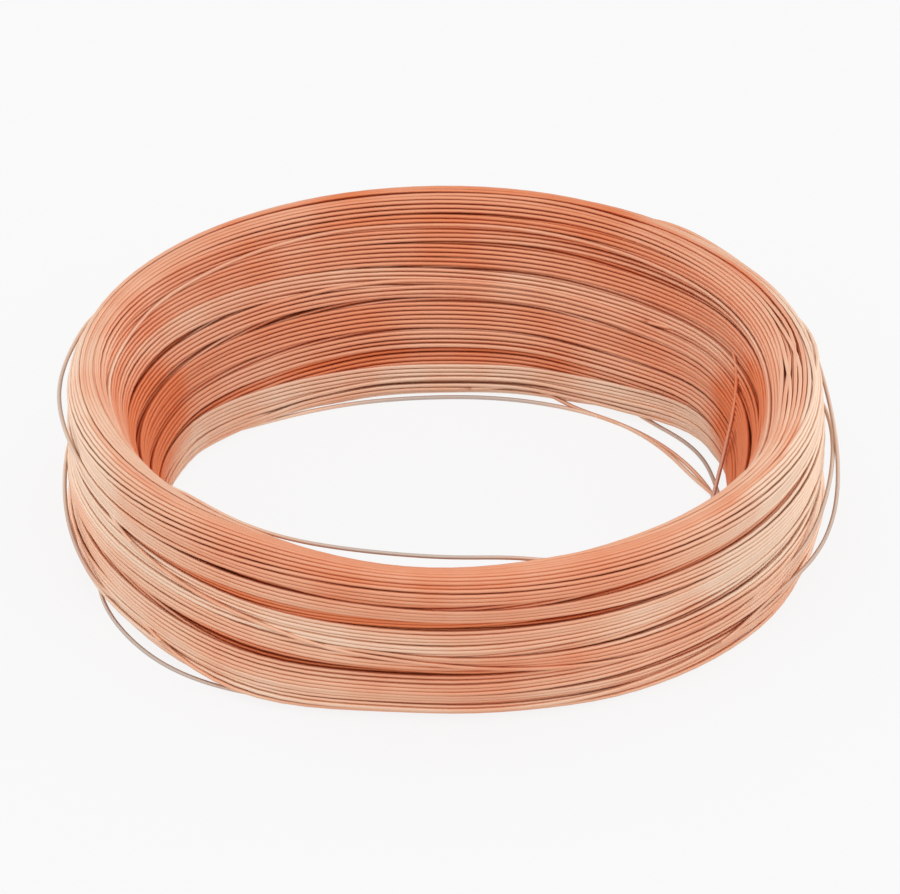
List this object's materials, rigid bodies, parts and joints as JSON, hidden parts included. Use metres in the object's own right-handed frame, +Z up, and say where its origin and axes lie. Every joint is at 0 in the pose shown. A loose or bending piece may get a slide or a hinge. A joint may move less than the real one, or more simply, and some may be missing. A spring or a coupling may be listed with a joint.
{
  "type": "copper wire coil",
  "caption": "Coil of bare soft copper wire with an open, flared bore, wound of one long length of round wire, with a few springy loose turns.",
  "frame": {"origin": "on the coil's axis at the level of the surface it lies on", "axes": "+Z up along the coil's axis, out of the wide mouth of the bore; -Y towards the viewer of the picture, +X to the viewer's right"},
  "size_m": [0.1858, 0.181, 0.042],
  "materials": {
    "bare_copper": "bright drawn copper, satin"
  },
  "bodies": {
    "root": {"packed_turns": "bare_copper", "loose_turns": "bare_copper"}
  },
  "joints": []
}
